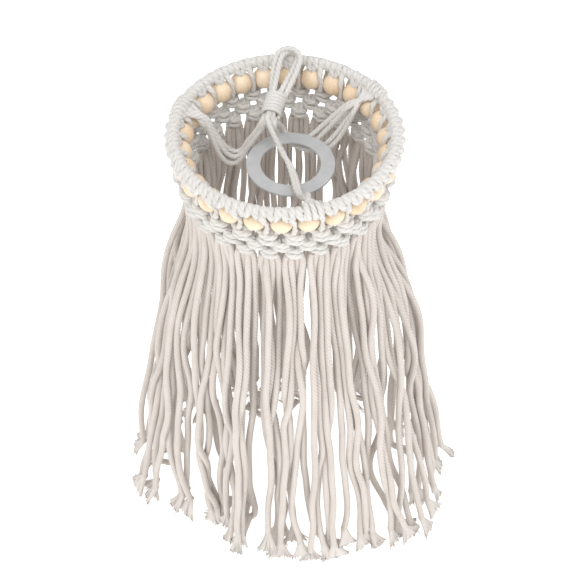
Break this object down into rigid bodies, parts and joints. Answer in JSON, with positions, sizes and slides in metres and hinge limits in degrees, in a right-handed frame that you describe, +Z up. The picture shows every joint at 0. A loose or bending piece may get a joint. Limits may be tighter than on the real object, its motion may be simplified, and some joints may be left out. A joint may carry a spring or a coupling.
{
  "type": "hanging macrame lampshade",
  "caption": "Macrame pendant lampshade: cord-covered hoop, wooden beads, knotted net, long twisted fringe, three slack cord legs with a hanging loop and a loose lamp-holder ring.",
  "frame": {"origin": "middle of the footprint on the surface that the fringe stands on, under the hoop's centre", "axes": "+Z up; +Y towards the side of the hoop that the hanging loop leans on; +X to the right seen from the front"},
  "size_m": [0.2848, 0.2002, 0.4226],
  "materials": {
    "cotton_cord": "matt twisted cotton",
    "bead_wood": "sanded, uncoated",
    "hoop_steel": "drawn wire",
    "frosted_plastic": "frosted, translucent"
  },
  "bodies": {
    "shade": {"hoop_wire": "hoop_steel", "hoop_hitches": "cotton_cord", "left_leg_hitches": "cotton_cord", "right_leg_hitches": "cotton_cord", "front_leg_hitches": "cotton_cord", "beads": "bead_wood", "bead_cords": "cotton_cord", "side_cords": "cotton_cord", "net_row_1": "cotton_cord", "net_row_2": "cotton_cord", "net_row_3": "cotton_cord", "fringe_lock_1": "cotton_cord", "fringe_lock_2": "cotton_cord", "fringe_lock_3": "cotton_cord", "fringe_lock_4": "cotton_cord", "fringe_lock_5": "cotton_cord", "fringe_lock_6": "cotton_cord", "fringe_lock_7": "cotton_cord", "fringe_lock_8": "cotton_cord", "fringe_lock_9": "cotton_cord", "fringe_lock_10": "cotton_cord", "fringe_lock_11": "cotton_cord", "fringe_lock_12": "cotton_cord", "fringe_lock_13": "cotton_cord", "fringe_lock_14": "cotton_cord", "fringe_lock_15": "cotton_cord", "fringe_lock_16": "cotton_cord", "fringe_lock_17": "cotton_cord", "fringe_lock_18": "cotton_cord", "fringe_lock_19": "cotton_cord", "fringe_lock_20": "cotton_cord", "fringe_lock_21": "cotton_cord", "fringe_lock_22": "cotton_cord", "fringe_lock_23": "cotton_cord", "fringe_lock_24": "cotton_cord", "fringe_lock_25": "cotton_cord", "fringe_lock_26": "cotton_cord", "left_leg": "cotton_cord", "right_leg": "cotton_cord", "front_leg": "cotton_cord"},
    "gather": {"leg_gather": "cotton_cord"},
    "hanger": {"gathering_wrap": "cotton_cord", "wrapped_cords": "cotton_cord", "hanging_loop": "cotton_cord"},
    "socket_ring": {"socket_ring": "frosted_plastic"}
  },
  "joints": [
    {"name": "hanger_lift", "type": "slide", "parent": "shade", "child": "gather", "axis": [0, 0, 1], "range_m": [0, 0.08], "deforming": ["left_leg", "right_leg", "front_leg"]},
    {"name": "loop_tilt", "type": "hinge", "parent": "gather", "child": "hanger", "pos_m": [-0.0115, 0.0165, 0.4035], "axis": [0.9613, -0.2756, 0], "range_deg": [0, 75]},
    {"name": "ring_lift", "type": "slide", "parent": "shade", "child": "socket_ring", "axis": [0, 0, 1], "range_m": [0, 0.052]}
  ],
  "couplings": [
    {"joint": "ring_lift", "follows": "hanger_lift", "ratio": 0.65}
  ]
}
